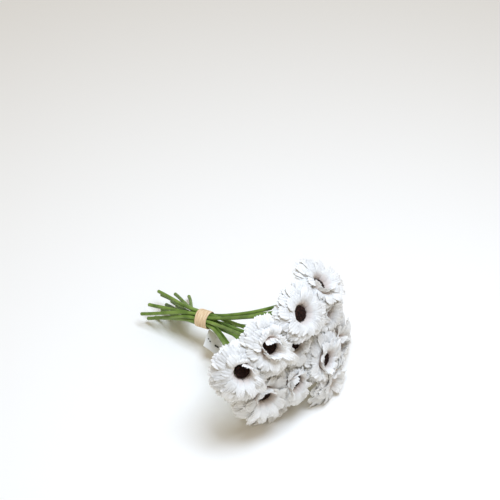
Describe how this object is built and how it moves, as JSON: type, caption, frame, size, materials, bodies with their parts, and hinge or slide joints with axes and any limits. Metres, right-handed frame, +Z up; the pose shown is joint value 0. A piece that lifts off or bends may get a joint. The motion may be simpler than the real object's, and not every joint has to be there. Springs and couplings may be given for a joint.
{
  "type": "tied bunch of artificial gerbera daisies",
  "caption": "White double gerbera daisies with dark centres and green stems, gathered by a raffia tie into one bunch that lies on its side, with a bare card tag",
  "frame": {"origin": "on the surface that the bunch lies on, under the middle of its outline", "axes": "+X runs along the bunch from the cut stem ends to the blooms, +Z is up, +Y is the side that the highest blooms lean to"},
  "size_m": [0.27, 0.233, 0.1722],
  "materials": {
    "petals": "matte, pleated",
    "flower_centre": "matte, grainy",
    "stem": "satin",
    "raffia_tie": "matte, fibrous",
    "card_tag": "matte"
  },
  "bodies": {
    "root": {"petals_01": "petals", "petals_02": "petals", "petals_03": "petals", "petals_04": "petals", "petals_05": "petals", "petals_06": "petals", "petals_07": "petals", "petals_08": "petals", "petals_09": "petals", "petals_10": "petals", "petals_11": "petals", "petals_12": "petals", "flower_centre_01": "flower_centre", "flower_centre_02": "flower_centre", "flower_centre_03": "flower_centre", "flower_centre_04": "flower_centre", "flower_centre_05": "flower_centre", "flower_centre_06": "flower_centre", "flower_centre_07": "flower_centre", "flower_centre_08": "flower_centre", "flower_centre_09": "flower_centre", "flower_centre_10": "flower_centre", "flower_centre_11": "flower_centre", "flower_centre_12": "flower_centre", "stem_01": "stem", "stem_02": "stem", "stem_03": "stem", "stem_04": "stem", "stem_05": "stem", "stem_06": "stem", "stem_07": "stem", "stem_08": "stem", "stem_09": "stem", "stem_10": "stem", "stem_11": "stem", "stem_12": "stem", "raffia_tie": "raffia_tie", "card_tag": "card_tag"}
  },
  "joints": []
}
